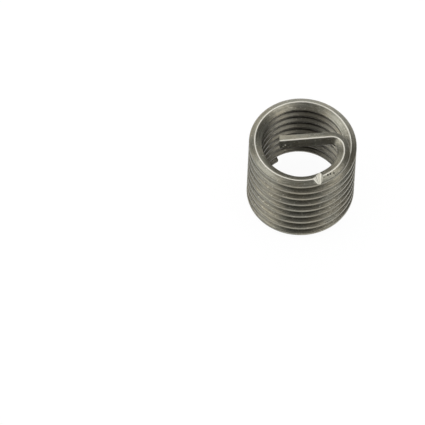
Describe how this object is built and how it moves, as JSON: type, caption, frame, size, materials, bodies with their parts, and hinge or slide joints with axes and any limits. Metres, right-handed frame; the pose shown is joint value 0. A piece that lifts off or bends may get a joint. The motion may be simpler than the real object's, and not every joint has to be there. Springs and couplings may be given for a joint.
{
  "type": "helical wire thread insert",
  "caption": "Coil of diamond-section wire with a tang across its bore, which screws into a tapped hole and gives a new inner thread.",
  "frame": {"origin": "on the insert's axis, level with the lowest point of the free end that it stands on", "axes": "+Z along the insert's axis towards the tang end, +X along the tang, from its sheared end to its bend"},
  "size_m": [0.0146, 0.0146, 0.0143],
  "materials": {
    "stainless_wire": "satin drawn stainless steel wire"
  },
  "bodies": {
    "root": {"thread_insert": "stainless_wire"}
  },
  "joints": []
}
